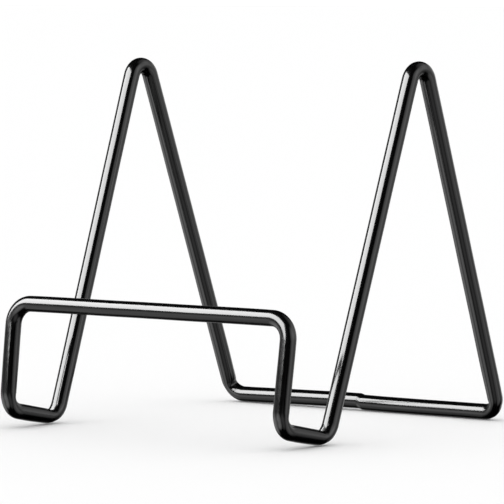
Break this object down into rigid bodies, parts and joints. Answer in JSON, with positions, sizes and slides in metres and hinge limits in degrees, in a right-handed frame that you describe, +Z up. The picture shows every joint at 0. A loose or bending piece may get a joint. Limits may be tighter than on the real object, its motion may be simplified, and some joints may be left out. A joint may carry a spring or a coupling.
{
  "type": "photo album stand",
  "caption": "Open easel stand of bent round rod: a front lip and rail hold an album that leans back on the uprights, and splayed rear legs meet a rear bar.",
  "frame": {"origin": "middle of the stand's footprint, on the surface that it stands on", "axes": "+Z up, -Y to the front where the rail and lip are, +X to the right as seen from the front"},
  "size_m": [0.1388, 0.14, 0.1371],
  "materials": {
    "gloss_black_rod": "gloss",
    "gloss_black_weld": "gloss over a dressed weld"
  },
  "bodies": {
    "root": {"left_rod": "gloss_black_rod", "right_rod": "gloss_black_rod", "front_rail_weld": "gloss_black_weld", "rear_bar_weld": "gloss_black_weld"}
  },
  "joints": []
}
